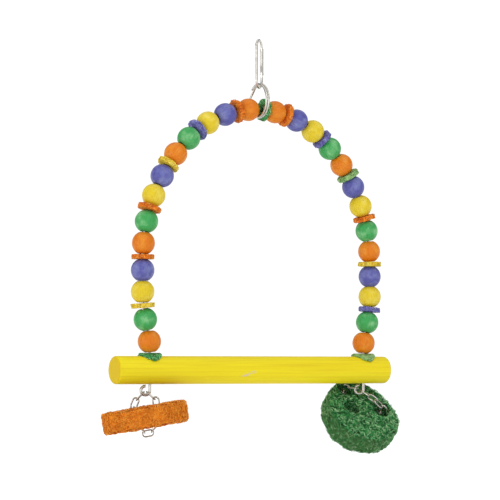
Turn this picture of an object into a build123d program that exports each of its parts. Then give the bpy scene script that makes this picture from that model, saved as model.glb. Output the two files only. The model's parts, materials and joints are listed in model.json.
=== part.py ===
from build123d import *
import os
from math import atan, ceil, cos, degrees, radians, sin, sqrt

# A bird swing that hangs by a snap clip: a dowel perch on a bead-strung wire arch, with a slice of
# loofah hung on a chain loop under each end. Millimetres, +Z up, the arch in the XZ plane.
# The origin is the hang point, at the inside top of the clip's hook.

os.makedirs("parts", exist_ok=True)

# Perch
perch_d = 19.0
perch_end_round = 1.6
perch_overhang_left = 27.0
perch_overhang_right = 18.2
perch_seat_clearance = 0.3

# Arch wire
wire_d = 2.0
wire_hole_clearance = 0.25
arch_half_width = 91.0
crown_radius_share = 0.88
side_radius_share = 1.26
bend_offset = 5.6
bend_height = 32.0
leg_run = 6.0
least_side_run = 4.0
eye_radius = 3.0
eye_angle = 275.0
left_eye_turn = 150.0
right_eye_turn = 142.0

# Beads (b) and discs (d) on the wire, in their order from the left end over the crown; the end discs (e)
# are pressed thin between the lowest beads and the dowel
bead_d = 16.0
bead_length = 14.2
bead_mouth_d = 7.0
bead_bore_d = 4.0
disc_d = 15.8
disc_thickness = 3.0
disc_bore_d = 4.0
disc_edge_round = 0.8
disc_rim_share = 0.4
end_disc_thickness = 1.9
disc_size_shares = (1.04, 1.0, 0.97, 1.05, 1.0, 1.03, 1.06, 1.0, 1.05, 0.98, 1.04, 1.0, 1.03, 0.96, 1.06)
string_clearance = 0.15
end_gap = 0.15
settling_rounds = 8
left_string = "e b b d b b d b b d b b d b b d b b d b".split()
right_string = "d b d b b d b b d b b d b b d b b d b b e".split()

# Split ring
ring_d = 24.6
ring_wire_d = 1.4
ring_turn_gap = 0.45
ring_split_angle = 50.0
ring_split_place = 20.0
ring_samples = 240
ring_sway = 20.0
ring_drop = 5.5
ring_disc_clearance = 0.55
ring_bead_clearance = 0.1

# Snap clip
clip_height = 35.0
clip_width = 12.0
clip_wire_d = 1.8
clip_facing = 39.0
gate_d = 2.4
gate_shoulder_rise = 2.9
gate_tang = 0.8
gate_tang_reach = 1.0
gate_shoulder_drop = 2.0
gate_heel = 0.9
gate_slot_clearance = 0.2
gate_slot_depth = 6.0
gate_nose_gap = 0.3
nose_tongue_length = 1.6
nose_tongue_width = 1.4
pin_d = 0.8
pin_head = 0.15
pin_seat_clearance = 0.02
spring_thickness = 0.25

# Chain
link_length = 8.6
link_width = 5.2
link_wire_d = 1.1
link_clearance = 0.2

# Loofah slices
left_slice_facing = -30.0
right_slice_facing = 0.0
slice_edge_round = 2.6
chamber_d = 12.0
chain_stand_off = 0.4
left_slice_d = 59.0
left_slice_thickness = 15.2
left_slice_drop = 18.0
left_slice_lean = 10.0
left_reaches = (9.4, 5.8)
left_outline_shares = (1.0, 0.97, 1.02, 0.98, 0.95, 1.01, 1.0, 0.96, 1.02, 0.99)
left_spare_chamber_shares = (0.12, -0.52)
right_slice_d = 57.0
right_slice_thickness = 17.0
right_slice_drop = 20.0
right_slice_lean = 49.0
right_thread_turn = -41.0
right_reaches = (8.6, 21.4)
right_outline_shares = (1.0, 0.98, 0.95, 1.0, 1.03, 0.97, 0.96, 1.02, 0.99, 0.97)
right_spare_chamber_shares = (-0.3, -0.06)

running_clearance = 0.3
cut_overrun = 1.0

# Axes shared by the pieces
up = Vector(0, 0, 1)
depth = Vector(0, 1, 0)


# Lengths along the string

piece_lengths = {"b": bead_length, "d": disc_thickness, "e": end_disc_thickness}


def solid_length(order):
    """The beads and discs of one side, end to end with no gaps."""
    return sum(piece_lengths[kind] for kind in order)


ring_pitch = ring_wire_d + ring_turn_gap
ring_half_width = (ring_pitch + ring_wire_d) / 2
ring_to_disc = ring_half_width + ring_disc_clearance
ring_to_bead = ring_half_width + ring_bead_clearance
bend_angle = 2 * degrees(atan(bend_offset / bend_height))

# Where the wire bends, flat bead ends meet at the inside of the bend, so the string is longer by its turn
string_turn = radians(90 + 2 * bend_angle)
packed_length = (
    end_gap
    + solid_length(right_string)
    + len(right_string) * string_clearance
    + string_turn * bead_mouth_d / 2
    + ring_to_disc
)

# The arch's outline, worked out from its width and from the string that fills it
leg_half_span = arch_half_width - bend_offset
crown_radius = crown_radius_share * arch_half_width
side_radius = side_radius_share * arch_half_width
side_shift = side_radius - arch_half_width
crown_rise = sqrt((side_radius - crown_radius) ** 2 - side_shift ** 2)
join_angle = 180 - degrees(atan(crown_rise / side_shift))
bend_radius = bend_height / (2 * sin(radians(bend_angle)))
curved_length = (
    crown_radius * radians(join_angle - 90)
    + side_radius * radians(180 - join_angle)
    + 2 * bend_radius * radians(bend_angle)
)

# The wire is as long as its beads and discs need, or longer under an arch too wide for them to fill
half_string = max(packed_length, curved_length + leg_run + least_side_run)
side_run = half_string - curved_length - leg_run

# Heights, from the hang point downwards
clip_half = (clip_width - clip_wire_d) / 2
clip_top_z = clip_wire_d / 2 - clip_half
clip_bottom_z = clip_wire_d - clip_height + clip_wire_d / 2 + clip_half
clip_inside_z = clip_bottom_z - clip_half + clip_wire_d / 2
ring_radius = (ring_d - ring_wire_d) / 2
ring_seat = ring_wire_d / 2 + ring_pitch / 2 * sin(radians(ring_sway)) + 2 * running_clearance
ring_top_z = clip_inside_z + ring_seat
ring_z = ring_top_z - ring_radius
crown_z = ring_z - ring_radius + ring_drop
widest_z = crown_z - crown_radius - crown_rise
bend_top_z = widest_z - side_run
bend_bottom_z = bend_top_z - bend_height
perch_top_z = bend_bottom_z - leg_run
perch_z = perch_top_z - perch_d / 2
eye_z = perch_z - perch_d / 2 - perch_seat_clearance - wire_d / 2 - eye_radius


# Curves

def in_arch(x, z):
    """A point of the arch's plane."""
    return Vector(x, 0, z)


def around(centre, radius, angle, outward, upward):
    """A point on a circle, by its angle from outward towards upward."""
    return centre + outward * (radius * cos(radians(angle))) + upward * (radius * sin(radians(angle)))


def arc_between(centre, radius, first, last, outward, upward):
    """An arc of that circle from one angle to another, for the curve being drawn."""
    angles = (first, (first + last) / 2, last)
    return ThreePointArc(*[around(centre, radius, angle, outward, upward) for angle in angles])


def arch_arc(x, z, radius, first, last):
    """An arc in the arch's plane, with its angles from +X towards +Z."""
    return arc_between(in_arch(x, z), radius, first, last, Vector(1, 0, 0), up)


def biarc(start, start_way, end, end_way):
    """Two arcs that meet smoothly and leave and reach their ends in the given directions."""
    chord = end - start
    ways = start_way + end_way
    spread = 2 * (1 - start_way.dot(end_way))
    along = chord.dot(ways)
    reach = (sqrt(along ** 2 + spread * chord.dot(chord)) - along) / spread
    lead = start + start_way * reach
    trail = end - end_way * reach
    TangentArc(start, (lead + trail) / 2, tangent=start_way)
    TangentArc((lead + trail) / 2, end, tangent=trail - lead)


def round_wire(line, diameter):
    """A round wire along a line that has just been drawn in the open part."""
    with BuildSketch(Plane(origin=line @ 0, z_dir=line % 0)) as section:
        Circle(diameter / 2)
    sweep(sections=section.sketch, path=line)


def finish(piece, name):
    """Labels a finished piece and writes it."""
    piece.part.label = name
    export_step(piece.part, f"parts/{name}.step")


# Snap clip: one bent wire, from the nose over the hook and round the bottom to the gate's tang
clip_way = Vector(cos(radians(clip_facing)), sin(radians(clip_facing)), 0)
clip_normal = clip_way.cross(up)


def in_clip(x, z):
    """A point of the clip's own plane."""
    return clip_way * x + up * z


gate_x = clip_half
shoulder_z = clip_bottom_z + gate_shoulder_rise
pivot_z = shoulder_z + gate_shoulder_drop
nose_z = clip_top_z
gate_plane = Plane(origin=in_clip(gate_x, pivot_z), x_dir=clip_way, z_dir=clip_normal)
gate_slot = gate_tang + 2 * gate_slot_clearance
gate_top_z = nose_z - gate_nose_gap

with BuildPart() as clip_body:
    with BuildLine() as clip_line:
        arc_between(in_clip(0, clip_top_z), clip_half, 0, 180, clip_way, up)
        Line(in_clip(-clip_half, clip_top_z), in_clip(-clip_half, clip_bottom_z))
        arc_between(in_clip(0, clip_bottom_z), clip_half, 180, 360, clip_way, up)
        Line(in_clip(gate_x, clip_bottom_z), in_clip(gate_x, shoulder_z))
    round_wire(clip_line.line, clip_wire_d)
    # The wire's two ends are pressed flat: a tang for the gate's pin and a tongue for its slot
    with BuildSketch(gate_plane):
        with Locations((0, gate_tang_reach / 2 - gate_shoulder_drop / 2)):
            Rectangle(clip_wire_d, gate_shoulder_drop + gate_tang_reach)
        with Locations((0, nose_z - pivot_z - nose_tongue_length / 2)):
            Rectangle(nose_tongue_width, nose_tongue_length)
    extrude(amount=gate_tang / 2, both=True)
    with BuildSketch(gate_plane):
        Circle(pin_d / 2 + pin_seat_clearance)
    extrude(amount=gate_tang, both=True, mode=Mode.SUBTRACT)
finish(clip_body, "clip_body")

with BuildPart() as clip_pin:
    with BuildSketch(gate_plane):
        Circle(pin_d / 2)
    extrude(amount=gate_d / 2 + pin_head, both=True)
finish(clip_pin, "clip_pin")

# Gate: a round bar, forked over the tang and slotted at its top for the nose's tongue
with BuildPart() as clip_gate:
    with BuildSketch(Plane(origin=in_clip(gate_x, pivot_z - gate_heel), x_dir=clip_way, z_dir=up)):
        Circle(gate_d / 2)
    extrude(amount=gate_top_z - pivot_z + gate_heel)
    with BuildSketch(gate_plane):
        with Locations((0, (gate_slot_depth - gate_heel - cut_overrun) / 2)):
            Rectangle(gate_d + cut_overrun, gate_slot_depth + gate_heel + cut_overrun)
        with Locations((0, gate_top_z - pivot_z - nose_tongue_length / 2)):
            Rectangle(gate_d + cut_overrun, nose_tongue_length + cut_overrun)
    extrude(amount=gate_slot / 2, both=True, mode=Mode.SUBTRACT)
    with BuildSketch(gate_plane):
        Circle(pin_d / 2 + gate_slot_clearance)
    extrude(amount=gate_d, both=True, mode=Mode.SUBTRACT)
finish(clip_gate, "clip_gate")

# Return spring: a leaf in the gate's slot that bears on the end of the tang
with BuildPart() as gate_spring:
    with BuildSketch(gate_plane):
        with Locations((0, (gate_slot_depth + gate_tang_reach + running_clearance) / 2)):
            Rectangle(gate_d / 2, gate_slot_depth - gate_tang_reach - running_clearance)
    extrude(amount=spring_thickness / 2, both=True)
finish(gate_spring, "gate_spring")

# Split ring: two flat turns of one wire, joined by a short slope where the ring is opened
ring_centre = in_arch(0, ring_z)


def on_ring(angle, side):
    """A point on one of the ring's two turns; side is -1 or 1."""
    return around(ring_centre, ring_radius, angle, depth, up) + Vector(side * ring_pitch / 2, 0, 0)


def ring_way(angle):
    """The direction in which the ring's wire runs at an angle."""
    return depth * -sin(radians(angle)) + up * cos(radians(angle))


split_from = ring_split_place - ring_split_angle / 2
split_to = ring_split_place + ring_split_angle / 2
turn_middle = ring_split_place + 180

with BuildPart() as split_ring:
    with BuildLine() as ring_line:
        for side, first, last in ((-1, split_to, turn_middle), (-1, turn_middle, split_from + 360)):
            ThreePointArc(on_ring(first, side), on_ring((first + last) / 2, side), on_ring(last, side))
        biarc(on_ring(split_from, -1), ring_way(split_from), on_ring(split_to, 1), ring_way(split_to))
        for side, first, last in ((1, split_to, turn_middle), (1, turn_middle, split_from + 360)):
            ThreePointArc(on_ring(first, side), on_ring((first + last) / 2, side), on_ring(last, side))
    round_wire(ring_line.line, ring_wire_d)
finish(split_ring, "split_ring")

# The least gap between the ring's turns, measured on points along its wire
ring_wire = ring_line.wires()[0]
ring_points = [ring_wire.position_at(index / ring_samples) for index in range(ring_samples + 1)]
quarter_turn = ring_samples // 8
ring_self_gap = min(
    (point - other).length - ring_wire_d
    for index, point in enumerate(ring_points)
    for other in ring_points[index + quarter_turn:]
)

# Arch wire: eye, leg, bead-strung arch, leg, eye
with BuildLine() as strung_line:
    Line(in_arch(-leg_half_span, perch_top_z), in_arch(-leg_half_span, bend_bottom_z))
    arch_arc(-leg_half_span - bend_radius, bend_bottom_z, bend_radius, 0, bend_angle)
    arch_arc(bend_radius - arch_half_width, bend_top_z, bend_radius, 180 + bend_angle, 180)
    Line(in_arch(-arch_half_width, bend_top_z), in_arch(-arch_half_width, widest_z))
    arch_arc(side_shift, widest_z, side_radius, 180, join_angle)
    arch_arc(0, crown_z - crown_radius, crown_radius, join_angle, 180 - join_angle)
    arch_arc(-side_shift, widest_z, side_radius, 180 - join_angle, 0)
    Line(in_arch(arch_half_width, widest_z), in_arch(arch_half_width, bend_top_z))
    arch_arc(arch_half_width - bend_radius, bend_top_z, bend_radius, 0, -bend_angle)
    arch_arc(leg_half_span + bend_radius, bend_bottom_z, bend_radius, 180 - bend_angle, 180)
    Line(in_arch(leg_half_span, bend_bottom_z), in_arch(leg_half_span, perch_top_z))
strung_wire = strung_line.wires()[0]

left_eye_way = Vector(1, 0, 0).rotate(Axis.Z, left_eye_turn)
right_eye_way = Vector(1, 0, 0).rotate(Axis.Z, right_eye_turn)
left_eye = in_arch(-leg_half_span, eye_z) + left_eye_way * eye_radius
right_eye = in_arch(leg_half_span, eye_z) + right_eye_way * eye_radius

with BuildPart() as arch_wire:
    with BuildLine() as wire_line:
        arc_between(left_eye, eye_radius, 180 + eye_angle, 180, left_eye_way, up)
        Line(in_arch(-leg_half_span, eye_z), in_arch(-leg_half_span, perch_top_z))
        add(strung_line.line)
        Line(in_arch(leg_half_span, perch_top_z), in_arch(leg_half_span, eye_z))
        arc_between(right_eye, eye_radius, 180, 180 + eye_angle, right_eye_way, up)
    round_wire(wire_line.line, wire_d)
finish(arch_wire, "arch_wire")

# Perch: a dowel with eased ends, drilled through for the wire's legs
perch_from = -leg_half_span - perch_overhang_left
perch_to = leg_half_span + perch_overhang_right

with BuildPart() as perch:
    with BuildSketch(Plane(origin=in_arch(perch_from, perch_z), x_dir=depth, z_dir=(1, 0, 0))):
        Circle(perch_d / 2)
    extrude(amount=perch_to - perch_from)
    fillet(perch.edges().filter_by(GeomType.CIRCLE), perch_end_round)
    with Locations(in_arch(-leg_half_span, perch_top_z), in_arch(leg_half_span, perch_top_z)):
        Hole(wire_d / 2 + wire_hole_clearance, depth=perch_d + cut_overrun)
finish(perch, "perch")


# Beads and discs

def seat(first, last):
    """Where a strung piece sits between two lengths along the wire: its centre and its bore's direction."""
    lengths = (first, (first + last) / 2, last)
    start, middle, end = [strung_wire.position_at(at, position_mode=PositionMode.LENGTH) for at in lengths]
    return (start + end + middle * 2) / 4, (end - start).normalized()


def make_bead(name, centre, bore_way):
    """A turned bead: a flattened ball with a flat mouth at each end of its bore."""
    half_length = bead_length / 2
    mouth = bead_mouth_d / 2
    bore = bead_bore_d / 2
    with BuildPart() as bead:
        with BuildSketch(Plane(origin=centre, x_dir=bore_way.cross(depth), z_dir=depth)):
            with BuildLine():
                ThreePointArc((mouth, -half_length), (bead_d / 2, 0), (mouth, half_length))
                Line((mouth, half_length), (bore, half_length))
                Line((bore, half_length), (bore, -half_length))
                Line((bore, -half_length), (mouth, -half_length))
            make_face()
        revolve(axis=Axis(centre, bore_way))
    finish(bead, name)


def make_disc(name, centre, bore_way, size_share, thickness):
    """A thin round of loofah with a hole for the wire."""
    with BuildPart() as disc:
        with BuildSketch(Plane(origin=centre, x_dir=bore_way.cross(depth), z_dir=bore_way)):
            Circle(disc_d * size_share / 2)
            Circle(disc_bore_d / 2, mode=Mode.SUBTRACT)
        extrude(amount=thickness / 2, both=True)
        rims = disc.edges().filter_by(GeomType.CIRCLE).sort_by(SortBy.RADIUS)[-2:]
        fillet(rims, min(disc_edge_round, disc_rim_share * thickness))
    finish(disc, name)


def stack(order, start, way, clearance):
    """Stacks one side's pieces up the wire from its leg: where each begins and ends along the wire."""
    places = []
    at = start
    for kind in order:
        length = piece_lengths[kind]
        gap = clearance if places else 0
        for _ in range(settling_rounds if places else 0):
            near, far = at + way * gap, at + way * (gap + length)
            bend = seat(*places[-1][1:])[1].cross(seat(min(near, far), max(near, far))[1]).length
            gap = clearance + bend * bead_mouth_d / 2
        near, far = at + way * gap, at + way * (gap + length)
        places.append((kind, min(near, far), max(near, far)))
        at = far
    return places, abs(at - start)


def string_places(order, start, way, room):
    """One side's pieces, with the clearance between them that fills the room up to the ring."""
    clearance = string_clearance
    for _ in range(settling_rounds):
        places, used = stack(order, start, way, clearance)
        clearance += (room - used) / len(order)
    return places, clearance


left_places, left_clearance = string_places(
    left_string, end_gap, 1, half_string - end_gap - ring_to_bead
)
right_places, right_clearance = string_places(
    right_string[::-1], 2 * half_string - end_gap, -1, half_string - end_gap - ring_to_disc
)
strung_pieces = []
for kind, first, last in left_places + right_places[::-1]:
    sort = "bead" if kind == "b" else "disc"
    number = sum(piece[0] == sort for piece in strung_pieces) + 1
    centre, bore_way = seat(first, last)
    if kind == "b":
        make_bead(f"bead_{number:02d}", centre, bore_way)
    else:
        make_disc(f"disc_{number:02d}", centre, bore_way, disc_size_shares[number - 1], piece_lengths[kind])
    strung_pieces.append((sort, number, centre, bore_way))


# Hanging slices of loofah, each threaded on a loop of chain

def make_slice(name, plane, diameter, thickness, outline_shares, chambers):
    """A cut across a loofah: an uneven round with rounded edges and open seed chambers."""
    turn = radians(360 / len(outline_shares))
    radii = [diameter / 2 * share for share in outline_shares]
    outline = [(radius * cos(turn * step), radius * sin(turn * step)) for step, radius in enumerate(radii)]
    with BuildPart() as loofah:
        with BuildSketch(plane.offset(-thickness / 2)):
            with BuildLine():
                Spline(*outline, periodic=True)
            make_face()
        extrude(amount=thickness)
        fillet(loofah.edges(), slice_edge_round)
        with BuildSketch(plane.offset(-thickness / 2 - cut_overrun)):
            with Locations(*chambers):
                Circle(chamber_d / 2)
        extrude(amount=thickness + 2 * cut_overrun, mode=Mode.SUBTRACT)
    finish(loofah, name)


def make_link(centre, along, flat_way):
    """One chain link about its centre, lying along one direction in the plane that flat_way crosses."""
    across = flat_way.cross(along).normalized()
    half_run = along * ((link_length - link_width) / 2)
    side = across * link_bow
    with BuildPart() as link:
        with BuildLine() as link_line:
            Line(centre - half_run + side, centre + half_run + side)
            arc_between(centre + half_run, link_bow, 90, -90, along, across)
            Line(centre + half_run - side, centre - half_run - side)
            arc_between(centre - half_run, link_bow, 270, 90, along, across)
        round_wire(link_line.line, link_wire_d)
    return link.part


def walk(route, reaches):
    """Steps along a route of straight runs, each a given reach from the one before, and what is left."""
    points = [route[0]]
    run = 0
    for reach in reaches:
        while run < len(route) - 1 and (route[run + 1] - points[-1]).length < reach:
            run += 1
        if run == len(route) - 1:
            return points, 0
        start = route[run] if run and (route[run] - points[-1]).length < reach else points[-1]
        way = (route[run + 1] - route[run]).normalized()
        offset = points[-1] - start
        ahead = offset.dot(way) + sqrt(offset.dot(way) ** 2 - offset.dot(offset) + reach ** 2)
        points.append(start + way * ahead)
    return points, (route[-1] - points[-1]).length


def chain_stops(route_at):
    """The eye's hooks and the bow centres between them, hung as low as a whole number of links needs."""
    slack_low = link_width / 2 + chain_stand_off
    reaches = [hook_reach, flat_reach]
    while walk(route_at(slack_low), reaches)[1] > hook_reach:
        reaches += [upright_reach, flat_reach]
    low, high = slack_low, slack_low + 2 * link_length
    for _ in range(halvings):
        middle = (low + high) / 2
        stops, left_over = walk(route_at(middle), reaches)
        low, high = (middle, high) if left_over < hook_reach else (low, middle)
    return stops + [route_at(low)[-1]]


def make_toy(side, eye, eye_normal, plane, reaches, thickness, diameter, outline_shares, spare_shares):
    """A slice with its chain loop; returns the places that the chain turns at."""
    eye_place = plane.to_local_coords(eye)
    chambers = [(eye_place.X - reaches[0], eye_place.Y), (eye_place.X + reaches[1], eye_place.Y)]
    spare = (spare_shares[0] * diameter / 2, spare_shares[1] * diameter / 2)
    make_slice(f"{side}_loofah_slice", plane, diameter, thickness, outline_shares, chambers + [spare])

    def route_at(hang):
        """The loop's corners: in the eye, over the two chambers, and along the chain's lowest run."""
        stand_off = thickness / 2 + link_width / 2 + chain_stand_off
        below = -thickness / 2 - hang
        near, far = chambers
        corners = [(*near, stand_off), (*near, below), (*far, below), (*far, stand_off)]
        places = [plane.from_local_coords(corner) for corner in corners]
        return [hook_towards(places[0])] + places + [hook_towards(places[-1])]

    def hook_towards(place):
        """Where a link that leads to a place hangs in the eye."""
        way = place - eye
        return eye + (way - eye_normal * way.dot(eye_normal)).normalized() * eye_bow

    stops = chain_stops(route_at)
    links = []
    for index, (start, end) in enumerate(zip(stops, stops[1:])):
        along = (end - start).normalized()
        centre = (start + end) / 2
        if index in (0, len(stops) - 2):
            tip = along * ((link_length - link_wire_d) / 2)
            centre = start + tip if index == 0 else end - tip
            flat_way = along.cross(eye_normal)
        else:
            flat_way = plane.y_dir if index % 2 else along.cross(plane.y_dir)
        links.append(make_link(centre, along, flat_way))
    for place, link in (("a", links[0]), ("b", links[-1])):
        with BuildPart() as eye_link:
            add(link)
        finish(eye_link, f"{side}_eye_link_{place}")
    with BuildPart() as chain:
        for link in links[1:-1]:
            add(link)
    finish(chain, f"{side}_chain_loop")
    return stops


left_slice_way = Vector(1, 0, 0).rotate(Axis.Z, left_slice_facing)
right_slice_way = Vector(1, 0, 0).rotate(Axis.Z, right_slice_facing)

# How far apart the pivots of a taut chain lie: across a link that is flat in the loop, across one that
# stands upright, and from a hook in the eye to the first flat link
link_bow = (link_width - link_wire_d) / 2
flat_reach = link_length - link_width
hooked = link_bow - link_wire_d - link_clearance
upright_reach = link_length - link_wire_d + 2 * hooked
eye_bow = eye_radius - wire_d / 2 - link_wire_d / 2 - link_clearance
hook_reach = link_length - link_wire_d + hooked
halvings = 40

left_lean = radians(left_slice_lean)
left_plane = Plane(
    origin=left_eye - up * left_slice_drop,
    x_dir=left_slice_way * cos(left_lean) + up * sin(left_lean),
    z_dir=up * cos(left_lean) - left_slice_way * sin(left_lean),
)
left_stops = make_toy(
    "left", left_eye, left_eye_way.cross(up), left_plane, left_reaches, left_slice_thickness,
    left_slice_d, left_outline_shares, left_spare_chamber_shares,
)

right_lean = radians(right_slice_lean)
right_normal = up * cos(right_lean) + right_slice_way.cross(up) * sin(right_lean)
right_thread = right_slice_way.rotate(Axis((0, 0, 0), right_normal), right_thread_turn)
right_plane = Plane(origin=right_eye - up * right_slice_drop, x_dir=right_thread, z_dir=right_normal)
right_stops = make_toy(
    "right", right_eye, right_eye_way.cross(up), right_plane, right_reaches, right_slice_thickness,
    right_slice_d, right_outline_shares, right_spare_chamber_shares,
)

# Checks of the sizes
print(f"perch length {perch_to - perch_from:.1f}, perch axis {perch_z:.1f}, crown {crown_z:.1f}")
print(f"arch height over the perch {crown_z - perch_z:.1f}, straight sides {side_run:.1f}")
print(f"clearance along the string: left {left_clearance:.2f}, right {right_clearance:.2f}")
print(f"least gap between the ring's turns {ring_self_gap:.2f}")
print(f"links on the left {len(left_stops) - 1}, on the right {len(right_stops) - 1}")
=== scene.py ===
import json
from math import cos, pi, radians, sin

import bpy
import numpy as np
from mathutils import Matrix, Vector, noise
from mathutils.bvhtree import BVHTree
from mathutils.kdtree import KDTree


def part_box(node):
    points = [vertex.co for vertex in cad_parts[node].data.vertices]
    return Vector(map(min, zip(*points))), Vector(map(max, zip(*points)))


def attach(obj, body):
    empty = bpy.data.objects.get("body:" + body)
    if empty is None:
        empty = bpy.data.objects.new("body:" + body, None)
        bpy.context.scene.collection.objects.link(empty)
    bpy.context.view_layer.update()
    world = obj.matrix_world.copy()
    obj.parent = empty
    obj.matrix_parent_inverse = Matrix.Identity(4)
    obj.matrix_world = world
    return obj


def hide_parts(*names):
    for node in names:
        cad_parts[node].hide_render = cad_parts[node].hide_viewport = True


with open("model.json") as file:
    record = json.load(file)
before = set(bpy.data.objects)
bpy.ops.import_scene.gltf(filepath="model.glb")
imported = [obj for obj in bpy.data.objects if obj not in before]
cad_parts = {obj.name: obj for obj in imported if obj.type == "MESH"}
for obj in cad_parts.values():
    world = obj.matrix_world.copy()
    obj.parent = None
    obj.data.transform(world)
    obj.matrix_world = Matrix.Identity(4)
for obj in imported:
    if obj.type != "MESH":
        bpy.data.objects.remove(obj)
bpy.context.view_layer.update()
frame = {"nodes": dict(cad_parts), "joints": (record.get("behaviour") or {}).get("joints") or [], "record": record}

# A bird swing: dyed dowel, dyed turned beads and loofah on a nickel-plated wire arch.
# The finishes are drawn here, and the loofah and beads get their own surfaces.
# Sizes are in millimetres, and mm turns them into Blender's metres.

mm = 0.001
tiny = 1e-9

# Beads, drawn longer than the part's by the clearance on the string, so that they look close together
bead_d = 16.0
bead_length = 14.35
bead_mouth_d = 7.0
bead_bore_d = 4.0
bead_mouth_round = 0.35
bead_out_of_round = 0.12
bead_least_oval = 0.3
bead_grain_lean = 0.12
bead_grain_spread = 200
bead_around = 56
bead_over = 26
bead_bore_rows = 5

# Loofah discs. The swell takes up the clearance on the string.
disc_count = 15
disc_d = 15.8
disc_most_size = 1.08
disc_thickness = 3.0
end_disc_thickness = 1.9
disc_swell = 0.15
disc_bore_d = 4.0
disc_edge_round = 0.5
disc_edge_share = 0.8
disc_lobe = 0.5
disc_lobe_counts = (2, 3, 5)
disc_lobe_inset = 0.4
disc_warp = 0.35
disc_pits = 0.7
disc_pit_size = 1.1
# Painted shade of a disc's body under its fibres: a lighter level than a slice's body
disc_shade = 0.2
disc_around = 84
disc_corner_rows = 5
disc_face_rows = 14
disc_press_share = 0.2
drape_share = 0.8

# Dowel
perch_d = 19.0

# Loofah slices
slice_voxel = 0.75
slice_shrink = 1.2
slice_lump = 0.6
slice_lump_size = 9.0
slice_pits = 0.6
slice_pit_size = 1.5
slice_skin_share = 0.6
slice_first_seed = 30
slice_pit_seed = 4

# Fibres: how many there are, their steps and the length of a step, how far they turn at each, how far
# they dip and rise, how high over the body they lie, and how thick they are. Real ones are finer.
disc_net = {"count": 240, "steps": 6, "stride": 0.8, "turn": 0.45,
            "lift": 0.15, "depth": 0.3, "fibre_d": 0.48}
slice_net = {"count": 6600, "steps": 5, "stride": 0.85, "turn": 0.55,
             "lift": 0.25, "depth": 0.9, "fibre_d": 0.54}
fibre_sides = 3
fibre_tip = 0.35
fibre_tip_growth = 0.5
fibre_lean = 2.0

# Painted shade over each fibre's own tone, from 0 in the pits to 1 on the palest fibres: the body, its pits and
# the lower fibres are drawn darker
body_painted_shade = 0.08
pit_painted_shade = 0.4
fibre_shade_low = 0.15
fibre_painted_shade_rise = 0.35

# Where the camera stood: the photograph's scale, its distance and its height
photo_px = 500
mm_per_px = 0.693
camera_turn = -30.0
camera_distance = 1700.0
camera_z = -227.0
aim_left = 6.35
aim_z = -145.3
sensor_width = 36.0
clip_end_m = 50

# Floor
floor_half = 6000
floor_z = -430
glow_from = 700
glow_full = 1900

rng = np.random.default_rng(20)


def linear(code):
    """An sRGB hex colour as linear RGBA."""
    values = [int(code[at:at + 2], 16) / 255 for at in (1, 3, 5)]
    return [v / 12.92 if v <= 0.04045 else ((v + 0.055) / 1.055) ** 2.4 for v in values] + [1.0]


def add_node(tree, kind, inputs=(), **settings):
    """Adds a node, sets its properties, and sets or links its inputs. A Map Range takes its value at 0, spans
    1 to 2 and gives 3 to 4. A colour Mix takes its share at 0 and its colours at 6 and 7, and gives 2."""
    made = tree.nodes.new(kind)
    for key, value in settings.items():
        setattr(made, key, value)
    for key, value in dict(inputs).items():
        if isinstance(value, bpy.types.NodeSocket):
            tree.links.new(value, made.inputs[key])
        else:
            made.inputs[key].default_value = value
    return made


def new_material(name):
    """A bare material with its node tree and its shader."""
    made = bpy.data.materials.new(name)
    made.use_nodes = True
    return made, made.node_tree, made.node_tree.nodes["Principled BSDF"]


# Finishes

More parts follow.
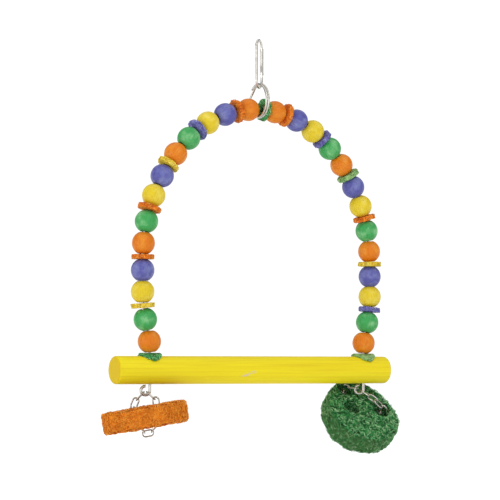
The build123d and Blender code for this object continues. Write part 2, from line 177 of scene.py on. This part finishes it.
def dyed_birch_dowel():
    """Birch dowel, sanded along its length and dipped in yellow dye: long soft streaks where the grain
    takes more or less of it, darker fine lines, and darker end grain with growth rings."""
    made, tree, shader = new_material("birch_dowel_dyed_yellow")
    low, high = [Vector(corner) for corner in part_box("perch")]
    middle = (low + high) / 2
    place = add_node(tree, "ShaderNodeTexCoord").outputs["Object"]
    centred = add_node(tree, "ShaderNodeVectorMath", {0: place, 1: middle}, operation="SUBTRACT").outputs[0]

    def streaks(width, length, detail):
        """Noise drawn out along the dowel, from the width and length of a streak."""
        scale = (1 / (length * mm), 1 / (width * mm), 1 / (width * mm))
        stretched = add_node(tree, "ShaderNodeMapping", {"Vector": centred, "Scale": scale}).outputs[0]
        return add_node(tree, "ShaderNodeTexNoise",
                        {"Vector": stretched, "Scale": 1.0, "Detail": detail, "Roughness": 0.6}).outputs[0]

    # Real pores are hair fine: the lines are drawn a few times wider, so that they show
    broad = streaks(2.6, 150.0, 2.0)
    fine = streaks(0.75, 60.0, 2.0)
    broad_share = add_node(tree, "ShaderNodeMapRange", {0: broad, 1: 0.35, 2: 0.7}).outputs[0]
    fine_share = add_node(tree, "ShaderNodeMapRange", {0: fine, 1: 0.52, 2: 0.75, 4: 0.7}).outputs[0]
    tone = add_node(tree, "ShaderNodeMix", {0: broad_share, 6: linear("#F3E11E"), 7: linear("#EBD41A")},
                    data_type="RGBA").outputs[2]
    grained = add_node(tree, "ShaderNodeMix", {0: fine_share, 6: tone, 7: linear("#DDBE1E")},
                       data_type="RGBA").outputs[2]

    # End grain: the dye soaks in deeper, and the growth rings cross it as faint, nearly straight lines
    along = add_node(tree, "ShaderNodeSeparateXYZ", {0: centred}).outputs
    reach = add_node(tree, "ShaderNodeMath", {0: along[0]}, operation="ABSOLUTE").outputs[0]
    half = (high.x - low.x) / 2
    soak_from = half - 1.2 * mm
    soak_full = half - 0.3 * mm
    at_end = add_node(tree, "ShaderNodeMapRange", {0: reach, 1: soak_from, 2: soak_full}).outputs[0]
    # A wave texture of scale 1 repeats after this length
    wave_length = 0.314
    ring_scale = wave_length / (1.9 * mm)
    rings = add_node(tree, "ShaderNodeTexWave",
                     {"Vector": centred, "Scale": ring_scale, "Distortion": 1.2, "Detail": 2.0},
                     wave_type="BANDS", bands_direction="Y").outputs[1]
    end_tone = add_node(tree, "ShaderNodeMix", {0: rings, 6: linear("#DCBA0A"), 7: linear("#E4C510")},
                        data_type="RGBA").outputs[2]
    ended = add_node(tree, "ShaderNodeMix", {0: at_end, 6: grained, 7: end_tone}, data_type="RGBA").outputs[2]

    # A scuff on the front: a few smooth slanted strokes where the dye is worn through to pale wood
    scuff_at = middle + Vector((-9.0, -8.6, -2.4)) * mm
    scuff_slant = radians(14)
    stroke_length = 6.0 * mm
    stroke_width = 0.9 * mm
    scuff_reach = 7 * mm
    scuff_height = 1.7 * mm
    from_scuff = add_node(tree, "ShaderNodeVectorMath", {0: place, 1: scuff_at},
                          operation="SUBTRACT").outputs[0]
    slanted = add_node(tree, "ShaderNodeMapping",
                       {"Vector": from_scuff, "Rotation": (0, scuff_slant, 0)}).outputs[0]
    stroke_scale = (1 / stroke_length, 1 / stroke_length, 1 / stroke_width)
    strokes = add_node(tree, "ShaderNodeMapping", {"Vector": slanted, "Scale": stroke_scale}).outputs[0]
    tear = add_node(tree, "ShaderNodeTexNoise", {"Vector": strokes, "Scale": 1.0, "Detail": 0.0}).outputs[0]
    scuff_scale = (1 / scuff_reach, 1 / scuff_reach, 1 / scuff_height)
    extent = add_node(tree, "ShaderNodeMapping", {"Vector": slanted, "Scale": scuff_scale}).outputs[0]
    spread = add_node(tree, "ShaderNodeVectorMath", {0: extent}, operation="LENGTH").outputs["Value"]
    torn = add_node(tree, "ShaderNodeMapRange", {0: tear, 1: 0.48, 2: 0.6, 4: 0.7}).outputs[0]
    within = add_node(tree, "ShaderNodeMapRange", {0: spread, 1: 1.0, 2: 0.6}).outputs[0]
    bare = add_node(tree, "ShaderNodeMath", {0: torn, 1: within}, operation="MULTIPLY").outputs[0]
    worn = add_node(tree, "ShaderNodeMix", {0: bare, 6: ended, 7: linear("#CFC0BE")},
                    data_type="RGBA").outputs[2]
    tree.links.new(worn, shader.inputs["Base Color"])
    sanded = add_node(tree, "ShaderNodeMapRange", {0: fine, 3: 0.45, 4: 0.65}).outputs[0]
    tree.links.new(sanded, shader.inputs["Roughness"])
    shader.inputs["Specular IOR Level"].default_value = 0.2
    raised = add_node(tree, "ShaderNodeBump",
                      {"Height": fine, "Strength": 0.35, "Distance": 0.12 * mm}).outputs[0]
    tree.links.new(raised, shader.inputs["Normal"])
    return made


def dyed_turned_maple(colour, pale, base, deep):
    """Maple bead, turned, tumbled with dye and waxed: a satin skin with faint grain along the bore, cloudy patches
    where the dye took unevenly, and painted shade round the hole, in the bore and where the beads meet."""
    made, tree, shader = new_material(f"maple_bead_dyed_{colour}")
    # Both attributes are in millimetres, and so are the sizes that go with them
    grain_width = 0.7
    grain_length = 9.0
    cloud_size = 6.5
    # The painted shade round the hole starts this far from the bore's axis and is full here
    mouth_from = 3.4
    mouth_full = 2.4
    grain = add_node(tree, "ShaderNodeAttribute", attribute_name="grain_mm").outputs["Vector"]
    shape = add_node(tree, "ShaderNodeAttribute", attribute_name="bead_mm").outputs["Vector"]
    grain_scale = (1 / grain_width, 1 / grain_width, 1 / grain_length)
    lines = add_node(tree, "ShaderNodeMapping", {"Vector": grain, "Scale": grain_scale}).outputs[0]
    fine = add_node(tree, "ShaderNodeTexNoise", {"Vector": lines, "Scale": 1.0, "Detail": 3.0}).outputs[0]
    cloud = add_node(tree, "ShaderNodeTexNoise",
                     {"Vector": grain, "Scale": 1 / cloud_size, "Detail": 2.0}).outputs[0]
    cloud_share = add_node(tree, "ShaderNodeMapRange", {0: cloud, 1: 0.45, 2: 0.75, 4: 0.8}).outputs[0]
    fine_share = add_node(tree, "ShaderNodeMapRange", {0: fine, 1: 0.48, 2: 0.78, 4: 0.55}).outputs[0]
    tone = add_node(tree, "ShaderNodeMix", {0: cloud_share, 6: linear(base), 7: linear(pale)},
                    data_type="RGBA").outputs[2]
    grained = add_node(tree, "ShaderNodeMix", {0: fine_share, 6: tone, 7: linear(deep)},
                       data_type="RGBA").outputs[2]
    # Painted shade: the bore and the ring round the hole, where the beads meet, are drawn in the deep colour
    flat = add_node(tree, "ShaderNodeVectorMath", {0: shape, 1: (1, 1, 0)}, operation="MULTIPLY").outputs[0]
    from_bore = add_node(tree, "ShaderNodeVectorMath", {0: flat}, operation="LENGTH").outputs["Value"]
    at_mouth = add_node(tree, "ShaderNodeMapRange",
                        {0: from_bore, 1: mouth_from, 2: mouth_full, 4: 0.8}).outputs[0]
    mouth_painted_shade = add_node(tree, "ShaderNodeMix", {0: at_mouth, 6: grained, 7: linear(deep)},
                        data_type="RGBA").outputs[2]
    tree.links.new(mouth_painted_shade, shader.inputs["Base Color"])
    waxed = add_node(tree, "ShaderNodeMapRange", {0: fine, 3: 0.36, 4: 0.5}).outputs[0]
    tree.links.new(waxed, shader.inputs["Roughness"])
    raised = add_node(tree, "ShaderNodeBump",
                      {"Height": fine, "Strength": 0.25, "Distance": 0.08 * mm}).outputs[0]
    tree.links.new(raised, shader.inputs["Normal"])
    shader.inputs["Specular IOR Level"].default_value = 0.24
    return made


def dyed_loofah(colour, pale, base, deep, skin):
    """Dried loofah, cut and dipped in dye: dull wiry fibres, each with its own tone plus painted shade that
    darkens the lower ones, over an inside and pits drawn darker as painted shade, where less light reaches. The
    outer skin takes the dye to a shade of its own."""
    made, tree, shader = new_material(f"loofah_dyed_{colour}")
    blotch_size = 6.0 * mm
    strand_size = 0.35 * mm
    shade = add_node(tree, "ShaderNodeAttribute", attribute_name="shade").outputs["Fac"]
    place = add_node(tree, "ShaderNodeTexCoord").outputs["Object"]
    blotch = add_node(tree, "ShaderNodeTexNoise",
                      {"Vector": place, "Scale": 1 / blotch_size, "Detail": 2.0}).outputs[0]
    uneven = add_node(tree, "ShaderNodeMapRange", {0: blotch, 1: 0.3, 2: 0.7, 3: -0.12, 4: 0.12}).outputs[0]
    depth = add_node(tree, "ShaderNodeMath", {0: shade, 1: uneven},
                     operation="ADD", use_clamp=True).outputs[0]
    # Low values are painted shade in the pits and under the top fibres, mixed towards the deep colour
    low_half = add_node(tree, "ShaderNodeMapRange", {0: depth, 1: 0.0, 2: 0.5}).outputs[0]
    high_half = add_node(tree, "ShaderNodeMapRange", {0: depth, 1: 0.5, 2: 1.0}).outputs[0]
    dark = add_node(tree, "ShaderNodeMix", {0: low_half, 6: linear(deep), 7: linear(base)},
                    data_type="RGBA").outputs[2]
    lit = add_node(tree, "ShaderNodeMix", {0: high_half, 6: dark, 7: linear(pale)},
                   data_type="RGBA").outputs[2]
    outer = add_node(tree, "ShaderNodeAttribute", attribute_name="skin").outputs["Fac"]
    skinned = add_node(tree, "ShaderNodeMix", {0: outer, 6: lit, 7: linear(skin)},
                       data_type="RGBA").outputs[2]
    tree.links.new(skinned, shader.inputs["Base Color"])
    strands = add_node(tree, "ShaderNodeTexNoise",
                       {"Vector": place, "Scale": 1 / strand_size, "Detail": 2.0}).outputs[0]
    dull = add_node(tree, "ShaderNodeMapRange", {0: strands, 3: 0.55, 4: 0.8}).outputs[0]
    tree.links.new(dull, shader.inputs["Roughness"])
    raised = add_node(tree, "ShaderNodeBump",
                      {"Height": strands, "Strength": 0.4, "Distance": 0.1 * mm}).outputs[0]
    tree.links.new(raised, shader.inputs["Normal"])
    shader.inputs["Specular IOR Level"].default_value = 0.3
    return made


def nickel_plate(name, bright, dull, smooth, coarse):
    """Steel wire, drawn and formed, most of it nickel plated: a warm grey mirror, with a cloudy film and
    small tumbling marks that blur it in places."""
    made, tree, shader = new_material(name)
    mark_size = 1.6 * mm
    film_size = 4.0 * mm
    place = add_node(tree, "ShaderNodeTexCoord").outputs["Object"]
    marks = add_node(tree, "ShaderNodeTexNoise",
                     {"Vector": place, "Scale": 1 / mark_size, "Detail": 2.0}).outputs[0]
    film = add_node(tree, "ShaderNodeTexNoise",
                    {"Vector": place, "Scale": 1 / film_size, "Detail": 2.0}).outputs[0]
    film_share = add_node(tree, "ShaderNodeMapRange", {0: film, 1: 0.35, 2: 0.7}).outputs[0]
    tone = add_node(tree, "ShaderNodeMix", {0: film_share, 6: linear(bright), 7: linear(dull)},
                    data_type="RGBA").outputs[2]
    tree.links.new(tone, shader.inputs["Base Color"])
    blur = add_node(tree, "ShaderNodeMapRange", {0: marks, 1: 0.3, 2: 0.75, 3: smooth, 4: coarse}).outputs[0]
    tree.links.new(blur, shader.inputs["Roughness"])
    raised = add_node(tree, "ShaderNodeBump",
                      {"Height": marks, "Strength": 0.06, "Distance": 0.03 * mm}).outputs[0]
    tree.links.new(raised, shader.inputs["Normal"])
    shader.inputs["Metallic"].default_value = 1.0
    return made


finishes = {
    "yellow_dowel": dyed_birch_dowel(),
    # A bead's deep colour draws its grain lines and the painted shade round its hole
    "orange_bead": dyed_turned_maple("orange", "#EC9C34", "#DF7B12", "#BE580A"),
    "green_bead": dyed_turned_maple("green", "#92D094", "#41A457", "#1F7838"),
    "yellow_bead": dyed_turned_maple("yellow", "#F0E068", "#E1C728", "#C49E18"),
    "blue_bead": dyed_turned_maple("violet_blue", "#8A92C4", "#5A5BA4", "#3E3C82"),
    # For the loofah the deep colour also stands for painted shade in the pits and under the fibres
    "orange_loofah": dyed_loofah("orange", "#FFC254", "#F6881C", "#AC4804", "#FFA41E"),
    "yellow_loofah": dyed_loofah("yellow", "#FFF084", "#F4D844", "#C8A21E", "#E6C83A"),
    "green_loofah": dyed_loofah("green", "#C2EEB6", "#42AC5A", "#0A2E12", "#527A42"),
    "light_green_loofah": dyed_loofah("light_green", "#C8E4B0", "#98C47C", "#62904A", "#84AC68"),
    "blue_loofah": dyed_loofah("violet_blue", "#C2C0EA", "#7C7AC0", "#444284", "#6866AC"),
    "arch_wire": nickel_plate("steel_wire_nickel_plated", "#CFCBC4", "#A9A49B", 0.16, 0.34),
    "clip_metal": nickel_plate("steel_clip_nickel_plated", "#DEDBD5", "#BDB8B0", 0.1, 0.24),
    "chain_metal": nickel_plate("steel_chain_nickel_plated", "#D2CDC6", "#A39C93", 0.14, 0.3),
    "spring_steel": nickel_plate("spring_steel_bare", "#9A9894", "#7C7A76", 0.3, 0.45),
}
slot_of = {entry["node"]: entry["material_slot"] for entry in frame["record"]["subparts"]}
spin_of = {joint["child"]: joint for joint in frame["joints"]}


# Surfaces

def new_piece(name, points, faces, node, body, values=(), vectors=()):
    """A smooth piece that stands for a node of the part, with its finish and its point values."""
    mesh = bpy.data.meshes.new(name)
    mesh.vertices.add(len(points))
    mesh.vertices.foreach_set("co", np.asarray(points, dtype=np.float32).ravel())
    mesh.loops.add(faces.size)
    mesh.loops.foreach_set("vertex_index", faces.astype(np.int32).ravel())
    mesh.polygons.add(len(faces))
    mesh.polygons.foreach_set("loop_start", np.arange(0, faces.size, faces.shape[1], dtype=np.int32))
    for key, numbers in dict(values).items():
        data = mesh.attributes.new(key, "FLOAT", "POINT").data
        data.foreach_set("value", np.asarray(numbers, dtype=np.float32))
    for key, numbers in dict(vectors).items():
        data = mesh.attributes.new(key, "FLOAT_VECTOR", "POINT").data
        data.foreach_set("vector", np.asarray(numbers, dtype=np.float32).ravel())
    mesh.update(calc_edges=True)
    mesh.validate()
    mesh.polygons.foreach_set("use_smooth", np.ones(len(mesh.polygons), dtype=bool))
    piece = bpy.data.objects.new(name, mesh)
    bpy.context.collection.objects.link(piece)
    mesh.materials.append(finishes[slot_of[node]])
    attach(piece, body)
    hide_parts(node)


def grid_faces(rows, columns, close_rows):
    """Quads over rows of points, closed round their columns. With close_rows the last row meets the first."""
    last = rows if close_rows else rows - 1
    row, column = np.meshgrid(np.arange(last), np.arange(columns), indexing="ij")
    here = row * columns
    below = (row + 1) % rows * columns
    beside = (column + 1) % columns
    corners = (here + column, here + beside, below + beside, below + column)
    return np.stack(corners, axis=-1).reshape(-1, 4)


def bore_frame(node):
    """Where a strung piece sits on the wire: its centre, and axes with the last one along its bore."""
    joint = spin_of[node]
    along = Vector(joint["axis"]).normalized()
    across = Vector((0, 1, 0))
    third = across.cross(along)
    return Vector(joint["pos_m"]), np.array([third, across, along])


def make_bead(node):
    """A turned bead with eased hole edges and a body that is slightly out of round."""
    centre, axes = bore_frame(node)
    mouth = bead_mouth_d / 2
    bore = bead_bore_d / 2
    half = bead_length / 2
    radius = ((bead_d / 2 - mouth) ** 2 + half ** 2) / (2 * (bead_d / 2 - mouth))
    sweep = np.arcsin(half / radius)
    arc = np.linspace(-sweep, sweep, bead_over)
    profile = [(bead_d / 2 - radius + radius * cos(a), radius * sin(a)) for a in arc]
    ease = bead_mouth_round / 2
    profile[0] = (profile[0][0] + ease, profile[0][1] + ease)
    profile[-1] = (profile[-1][0] + ease, profile[-1][1] - ease)
    profile += [(mouth, half), (bore + bead_mouth_round, half - bead_mouth_round / 4)]
    bore_half = half - bead_mouth_round * 2
    profile += [(bore, height) for height in np.linspace(bore_half, -bore_half, bead_bore_rows)]
    profile += [(bore + bead_mouth_round, bead_mouth_round / 4 - half), (mouth, -half)]
    profile = np.array(profile)
    turn = np.linspace(0, 2 * pi, bead_around, endpoint=False)
    oval = rng.uniform(bead_least_oval, 1)
    phase = rng.uniform(0, 2 * pi)
    lean = rng.uniform(-bead_grain_lean, bead_grain_lean)
    body = np.clip((profile[:, 0] - mouth) / (bead_d / 2 - mouth), 0, 1)
    swell = bead_out_of_round * oval * np.outer(body, np.cos(2 * turn + phase))
    swell -= bead_out_of_round * oval * body[:, None]
    spread = profile[:, :1] + swell
    height = np.broadcast_to(profile[:, 1:], spread.shape)
    local = np.stack([spread * np.cos(turn), spread * np.sin(turn), height], axis=-1).reshape(-1, 3)
    tilt = np.array(Matrix.Rotation(lean, 3, "X") @ Matrix.Rotation(phase, 3, "Z"))
    grain = local @ tilt.T + rng.uniform(-bead_grain_spread, bead_grain_spread, 3)
    placed = local @ axes * mm + np.array(centre)
    new_piece(f"{node}_turned", placed, grid_faces(len(profile), bead_around, True), node, node,
              vectors={"grain_mm": grain, "bead_mm": local})


def ripple(points, size, seed):
    """Smooth noise at points, in millimetres, with patches of about the given size."""
    shift = Vector((seed * 17.3, seed * 5.1, seed * 29.7))
    return np.array([noise.noise(Vector(point) / size + shift) for point in points])


def tubes(paths, normals, radii):
    """Fibres along rows of points: their points, their quads and how many points each fibre has."""
    ways = np.gradient(paths, axis=1)
    ways /= np.linalg.norm(ways, axis=2, keepdims=True) + tiny
    beside = np.cross(ways, normals)
    beside /= np.linalg.norm(beside, axis=2, keepdims=True) + tiny
    above = np.cross(beside, ways)
    count, steps = paths.shape[:2]
    from_tip = np.minimum(np.arange(steps), np.arange(steps)[::-1])
    taper = np.clip(from_tip * fibre_tip_growth + fibre_tip, 0, 1)
    girth = (radii[:, None] * taper)[:, :, None, None]
    turn = np.linspace(0, 2 * pi, fibre_sides, endpoint=False)[:, None]
    rings = above[:, :, None] * np.cos(turn) + beside[:, :, None] * np.sin(turn)
    points = (paths[:, :, None] + rings * girth).reshape(-1, 3)
    each = steps * fibre_sides
    one = grid_faces(steps, fibre_sides, False)
    faces = (one[None] + (np.arange(count) * each)[:, None, None]).reshape(-1, 4)
    return points, faces, each


def wander(points, faces, net, lean):
    """Fibres that wander over a surface at their own heights, dipping and rising, from starts spread by area.
    Lean gives each start's favoured direction."""
    count = net["count"]
    steps = net["steps"]
    tree = BVHTree.FromPolygons([Vector(p) for p in points], [tuple(f) for f in faces])
    corners = points[faces]
    area = np.linalg.norm(np.cross(corners[:, 2] - corners[:, 0], corners[:, 3] - corners[:, 1]), axis=1)
    chosen = rng.choice(len(faces), count, p=area / area.sum())
    mix = rng.dirichlet((1, 1, 1, 1), count)
    starts = (corners[chosen] * mix[:, :, None]).sum(axis=1)
    jitter = rng.normal(0, net["turn"], (count, steps, 3))
    first = rng.normal(0, 1, (count, 3))
    bob = rng.uniform(0, 2 * pi, count)
    pace = rng.uniform(0.7, 1.5, count)
    heights = rng.uniform(0, net["depth"], count)
    paths = np.empty((count, steps, 3))
    normals = np.empty((count, steps, 3))
    for index in range(count):
        place, normal, _, _ = tree.find_nearest(Vector(starts[index]))
        way = Vector(first[index])
        way += lean(place, normal) * (fibre_lean if way.x > 0 else -fibre_lean)
        for step in range(steps):
            way = way + Vector(jitter[index, step])
            way = (way - normal * way.dot(normal)).normalized()
            height = heights[index] + net["lift"] * sin(bob[index] + pace[index] * step)
            paths[index, step] = place + normal * height
            normals[index, step] = normal
            place, normal, _, _ = tree.find_nearest(place + way * net["stride"])
    return paths, normals, heights / net["depth"]


def felted(name, node, body, points, faces, net, lean, pits, skin, settle=None):
    """A loofah piece: a pitted body under a net of loose fibres, in one mesh. Deeper fibres and the body's pits
    are drawn darker as painted shade, and skin says how far each point of the body belongs to the outer skin.
    Settle moves the points at the end."""
    count = net["count"]
    paths, normals, heights = wander(points, faces, net, lean)
    thickness = net["fibre_d"] / 2 * rng.uniform(0.6, 1.15, count)
    fibre_points, fibre_faces, each = tubes(paths, normals, thickness)
    own_shade = rng.uniform(-0.25, 0.6, count)
    # Painted shade: each fibre is lighter the higher it lies, over a random tone of its own
    fibre_shade = np.clip(fibre_shade_low + fibre_painted_shade_rise * heights + own_shade, 0, 1)
    # The body is drawn darker than the fibres, darkest in its pits, as painted shade
    shade = np.concatenate([np.clip(body_painted_shade + pits, 0, 1), np.repeat(fibre_shade, each)])
    nearest = KDTree(len(points))
    for index, point in enumerate(points):
        nearest.insert(point, index)
    nearest.balance()
    fibre_skin = skin[[nearest.find(path[len(path) // 2])[1] for path in paths]]
    skin_share = np.concatenate([skin, np.repeat(fibre_skin * rng.uniform(0.3, 1, count), each)])
    all_points = np.concatenate([points, fibre_points])
    if settle:
        all_points = settle(all_points)
    all_faces = np.concatenate([faces, fibre_faces + len(points)])
    new_piece(name, all_points * mm, all_faces, node, body, values={"shade": shade, "skin": skin_share})


def make_disc(node, number):
    """A thin round of loofah: a lobed, warped washer with a pitted skin and fibres round it, pressed between
    its beads. The two at the ends are thinner and sag over the dowel."""
    centre, axes = bore_frame(node)
    middle = np.array(centre) / mm
    low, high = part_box(node)
    size = max(h - l for l, h in zip(low, high)) / mm / disc_d
    at_end = number in (1, disc_count)
    half = (end_disc_thickness if at_end else disc_thickness) / 2 + disc_swell
    outer = disc_d * min(size, disc_most_size) / 2 - disc_net["depth"]
    bore = disc_bore_d / 2
    edge = min(disc_edge_round, half * disc_edge_share)
    corner = np.linspace(0, pi / 2, disc_corner_rows)
    rim = [(outer - edge + edge * cos(a), half - edge + edge * sin(a)) for a in corner]
    face = [(radius, half) for radius in np.linspace(outer - edge, bore, disc_face_rows)[1:]]
    top = rim + face
    profile = np.array(top + [(radius, -height) for radius, height in reversed(top)])
    turn = np.linspace(0, 2 * pi, disc_around, endpoint=False)
    lobes = sum(rng.uniform(0.3, 1) * np.cos(k * turn + rng.uniform(0, 2 * pi)) / k for k in disc_lobe_counts)
    warp = rng.uniform(0.4, 1) * np.cos(2 * turn + rng.uniform(0, 2 * pi))
    reach = np.clip((profile[:, :1] - bore) / (outer - bore), 0, 1)
    spread = profile[:, :1] + disc_lobe * reach * lobes - disc_lobe * reach * disc_lobe_inset
    height = profile[:, 1:] + disc_warp * reach ** 2 * warp
    local = np.stack([spread * np.cos(turn), spread * np.sin(turn), height], axis=-1).reshape(-1, 3)
    dents = ripple(local, disc_pit_size, number)
    outward = local * np.array([0.5, 0.5, 1]) / half
    outward /= np.linalg.norm(outward, axis=1, keepdims=True) + tiny
    local = local + outward * (dents * disc_pits)[:, None]
    faces = grid_faces(len(profile), disc_around, True)
    placed = local @ axes + middle

    def around_bore(place, normal):
        """The way round the disc's rim, on the rim only."""
        along = Vector(axes[2])
        return along.cross(place - centre / mm).normalized() * (1 - abs(normal.dot(along)))

    def settle(points):
        """Presses what stands out in behind the disc's two faces, and lays an end disc over the dowel."""
        height = (points - middle) @ axes[2]
        give = disc_press_share * half
        over = np.clip(np.abs(height) - (half - give), 0, None)
        pressed = np.sign(height) * (np.minimum(np.abs(height), half - give) + give * np.tanh(over / give))
        points = points + np.outer(pressed - height, axes[2])
        if at_end:
            points[:, 2] -= drape_share * (perch_d / 2 - np.sqrt(perch_d ** 2 / 4 - points[:, 1] ** 2))
        return points

    # An end disc slips round on the dowel without leaving its sag, so its shape stays with the dowel
    body = "swing_frame" if at_end else node
    # The disc's body gets painted shade, darker in its pits
    felted(f"{node}_loofah", node, body, placed, faces, disc_net, around_bore,
           disc_shade + dents * pit_painted_shade, np.zeros(len(placed)), settle)


def make_slice(side, seed):
    """A thick slice of loofah: the part's own slice, remeshed, lumped and pitted, under a mat of fibres."""
    node = f"{side}_loofah_slice"
    rough = bpy.data.objects.new("rough", frame["nodes"][node].data.copy())
    bpy.context.collection.objects.link(rough)
    remesh = rough.modifiers.new("remesh", "REMESH")
    remesh.voxel_size = slice_voxel * mm
    shaped = bpy.data.meshes.new_from_object(rough.evaluated_get(bpy.context.evaluated_depsgraph_get()))
    bpy.data.objects.remove(rough)
    points = np.empty(len(shaped.vertices) * 3)
    normals = np.empty(len(shaped.vertices) * 3)
    shaped.vertices.foreach_get("co", points)
    shaped.vertices.foreach_get("normal", normals)
    points = points.reshape(-1, 3) / mm
    normals = normals.reshape(-1, 3)
    faces = np.array([tuple(face.vertices) for face in shaped.polygons])
    bpy.data.meshes.remove(shaped)
    lumps = ripple(points, slice_lump_size, seed)
    dents = ripple(points, slice_pit_size, seed + slice_pit_seed)
    points = points + normals * (slice_lump * lumps + slice_pits * dents - slice_shrink)[:, None]
    centre = points.mean(axis=0)
    flat_way = Vector(np.linalg.svd(points - centre, full_matrices=False)[2][2])

    def around_rim(place, normal):
        """The way round the slice's rim, on the rim only, where the vine's outer fibres run."""
        return flat_way.cross(place - Vector(centre)).normalized() * (1 - abs(normal.dot(flat_way)))

    # The skin is where the surface faces outwards from the slice's middle
    outward = points - centre
    outward -= np.outer(outward @ np.array(flat_way), flat_way)
    outward /= np.linalg.norm(outward, axis=1, keepdims=True)
    skin = np.clip((normals * outward).sum(axis=1) * 1.6 - 0.6, 0, 1) * slice_skin_share
    # The slice's body gets painted shade, darker in its pits
    felted(f"{node}_felted", node, f"{side}_slice", points, faces, slice_net, around_rim,
           dents * pit_painted_shade, skin)


for node in frame["nodes"]:
    if node.startswith("bead_"):
        make_bead(node)
for number in range(1, disc_count + 1):
    make_disc(f"disc_{number:02d}", number)
for seed, side in enumerate(("left", "right"), slice_first_seed):
    make_slice(side, seed)

# The wire pieces, the dowel and the clip keep the part's own shapes
for node, made in frame["nodes"].items():
    if not node.startswith(("bead_", "disc_")) and not node.endswith("_loofah_slice"):
        made.data.materials.clear()
        made.data.materials.append(finishes[slot_of[node]])

# Floor, light and camera
floor_mesh = bpy.data.meshes.new("floor")
floor_signs = ((-1, -1), (1, -1), (1, 1), (-1, 1))
floor_corners = [(x * floor_half * mm, y * floor_half * mm, floor_z * mm) for x, y in floor_signs]
floor_mesh.from_pydata(floor_corners, [], [(0, 1, 2, 3)])
floor = bpy.data.objects.new("floor", floor_mesh)
bpy.context.collection.objects.link(floor)
floor_paint, floor_tree, floor_shader = new_material("pale_studio_floor")
floor_shader.inputs["Base Color"].default_value = linear("#F6F6F5")
floor_shader.inputs["Roughness"].default_value = 0.9
floor_shader.inputs["Emission Color"].default_value = (1, 1, 1, 1)
# Far from the swing the floor glows more, so that it runs into the white backdrop
floor_place = add_node(floor_tree, "ShaderNodeTexCoord").outputs["Object"]
floor_reach = add_node(floor_tree, "ShaderNodeVectorMath", {0: floor_place},
                       operation="LENGTH").outputs["Value"]
floor_glow = add_node(floor_tree, "ShaderNodeMapRange",
                      {0: floor_reach, 1: glow_from * mm, 2: glow_full * mm, 3: 0.1, 4: 0.6}).outputs[0]
floor_tree.links.new(floor_glow, floor_shader.inputs["Emission Strength"])
floor_mesh.materials.append(floor_paint)

right_way = Vector((cos(radians(camera_turn)), sin(radians(camera_turn)), 0))
view_way = Vector((-right_way.y, right_way.x, 0))
aim = right_way * (-aim_left * mm) + Vector((0, 0, aim_z * mm))

# The dome is white near the horizon and overhead, with a greyer band between that the metal mirrors.
# The band reaches lower at the sides, where upright wires mirror it as thin dark lines.
dome = bpy.data.worlds.new("studio_dome")
dome.use_nodes = True
bpy.context.scene.world = dome
sky = dome.node_tree
way = add_node(sky, "ShaderNodeTexCoord").outputs["Generated"]
rise = add_node(sky, "ShaderNodeSeparateXYZ", {0: way}).outputs[2]
greyer = add_node(sky, "ShaderNodeMapRange", {0: rise, 1: 0.16, 2: 0.4, 3: 1.05, 4: 0.25},
                  interpolation_type="SMOOTHSTEP").outputs[0]
overhead = add_node(sky, "ShaderNodeMapRange", {0: rise, 1: 0.55, 2: 0.85, 3: 0.0, 4: 0.75},
                    interpolation_type="SMOOTHSTEP").outputs[0]
level = add_node(sky, "ShaderNodeMath", {0: greyer, 1: overhead}, operation="ADD").outputs[0]
sideways = add_node(sky, "ShaderNodeVectorMath", {0: way, 1: right_way},
                    operation="DOT_PRODUCT").outputs["Value"]
to_side = add_node(sky, "ShaderNodeMath", {0: sideways}, operation="ABSOLUTE").outputs[0]
beside = add_node(sky, "ShaderNodeMapRange", {0: to_side, 1: 0.75, 2: 0.92},
                  interpolation_type="SMOOTHSTEP").outputs[0]
low_band = add_node(sky, "ShaderNodeMapRange", {0: rise, 1: 0.06, 2: 0.13},
                    interpolation_type="SMOOTHSTEP").outputs[0]
dark_share = add_node(sky, "ShaderNodeMath", {0: beside, 1: low_band}, operation="MULTIPLY").outputs[0]
shaded = add_node(sky, "ShaderNodeMapRange", {0: dark_share, 3: 1.0, 4: 0.12}).outputs[0]
carded = add_node(sky, "ShaderNodeMath", {0: level, 1: shaded}, operation="MULTIPLY").outputs[0]
sky.links.new(carded, sky.nodes["Background"].inputs["Strength"])
sky.nodes["Background"].inputs["Color"].default_value = (1, 1, 1, 1)


def add_light(name, sideways, back, height, size, power):
    """A square soft box that faces the swing, placed in the camera's own right, back and up."""
    lamp = bpy.data.lights.new(name, "AREA")
    lamp.size = size * mm
    lamp.energy = power
    box = bpy.data.objects.new(name, lamp)
    bpy.context.collection.objects.link(box)
    box.location = aim + (right_way * sideways - view_way * back + Vector((0, 0, height))) * mm
    box.rotation_euler = (aim - box.location).to_track_quat("-Z", "Y").to_euler()


add_light("key", sideways=900, back=1100, height=1100, size=900, power=8)
add_light("fill", sideways=-1200, back=900, height=300, size=900, power=5)

lens = bpy.data.cameras.new("photograph_view")
lens.sensor_width = sensor_width
lens.lens = sensor_width * camera_distance / (photo_px * mm_per_px)
lens.clip_end = clip_end_m
camera = bpy.data.objects.new("photograph_view", lens)
bpy.context.collection.objects.link(camera)
camera.location = Vector((aim.x, aim.y, camera_z * mm)) - view_way * camera_distance * mm
camera.rotation_euler = (aim - camera.location).to_track_quat("-Z", "Y").to_euler()
bpy.context.scene.camera = camera
bpy.context.scene.view_settings.view_transform = "Standard"
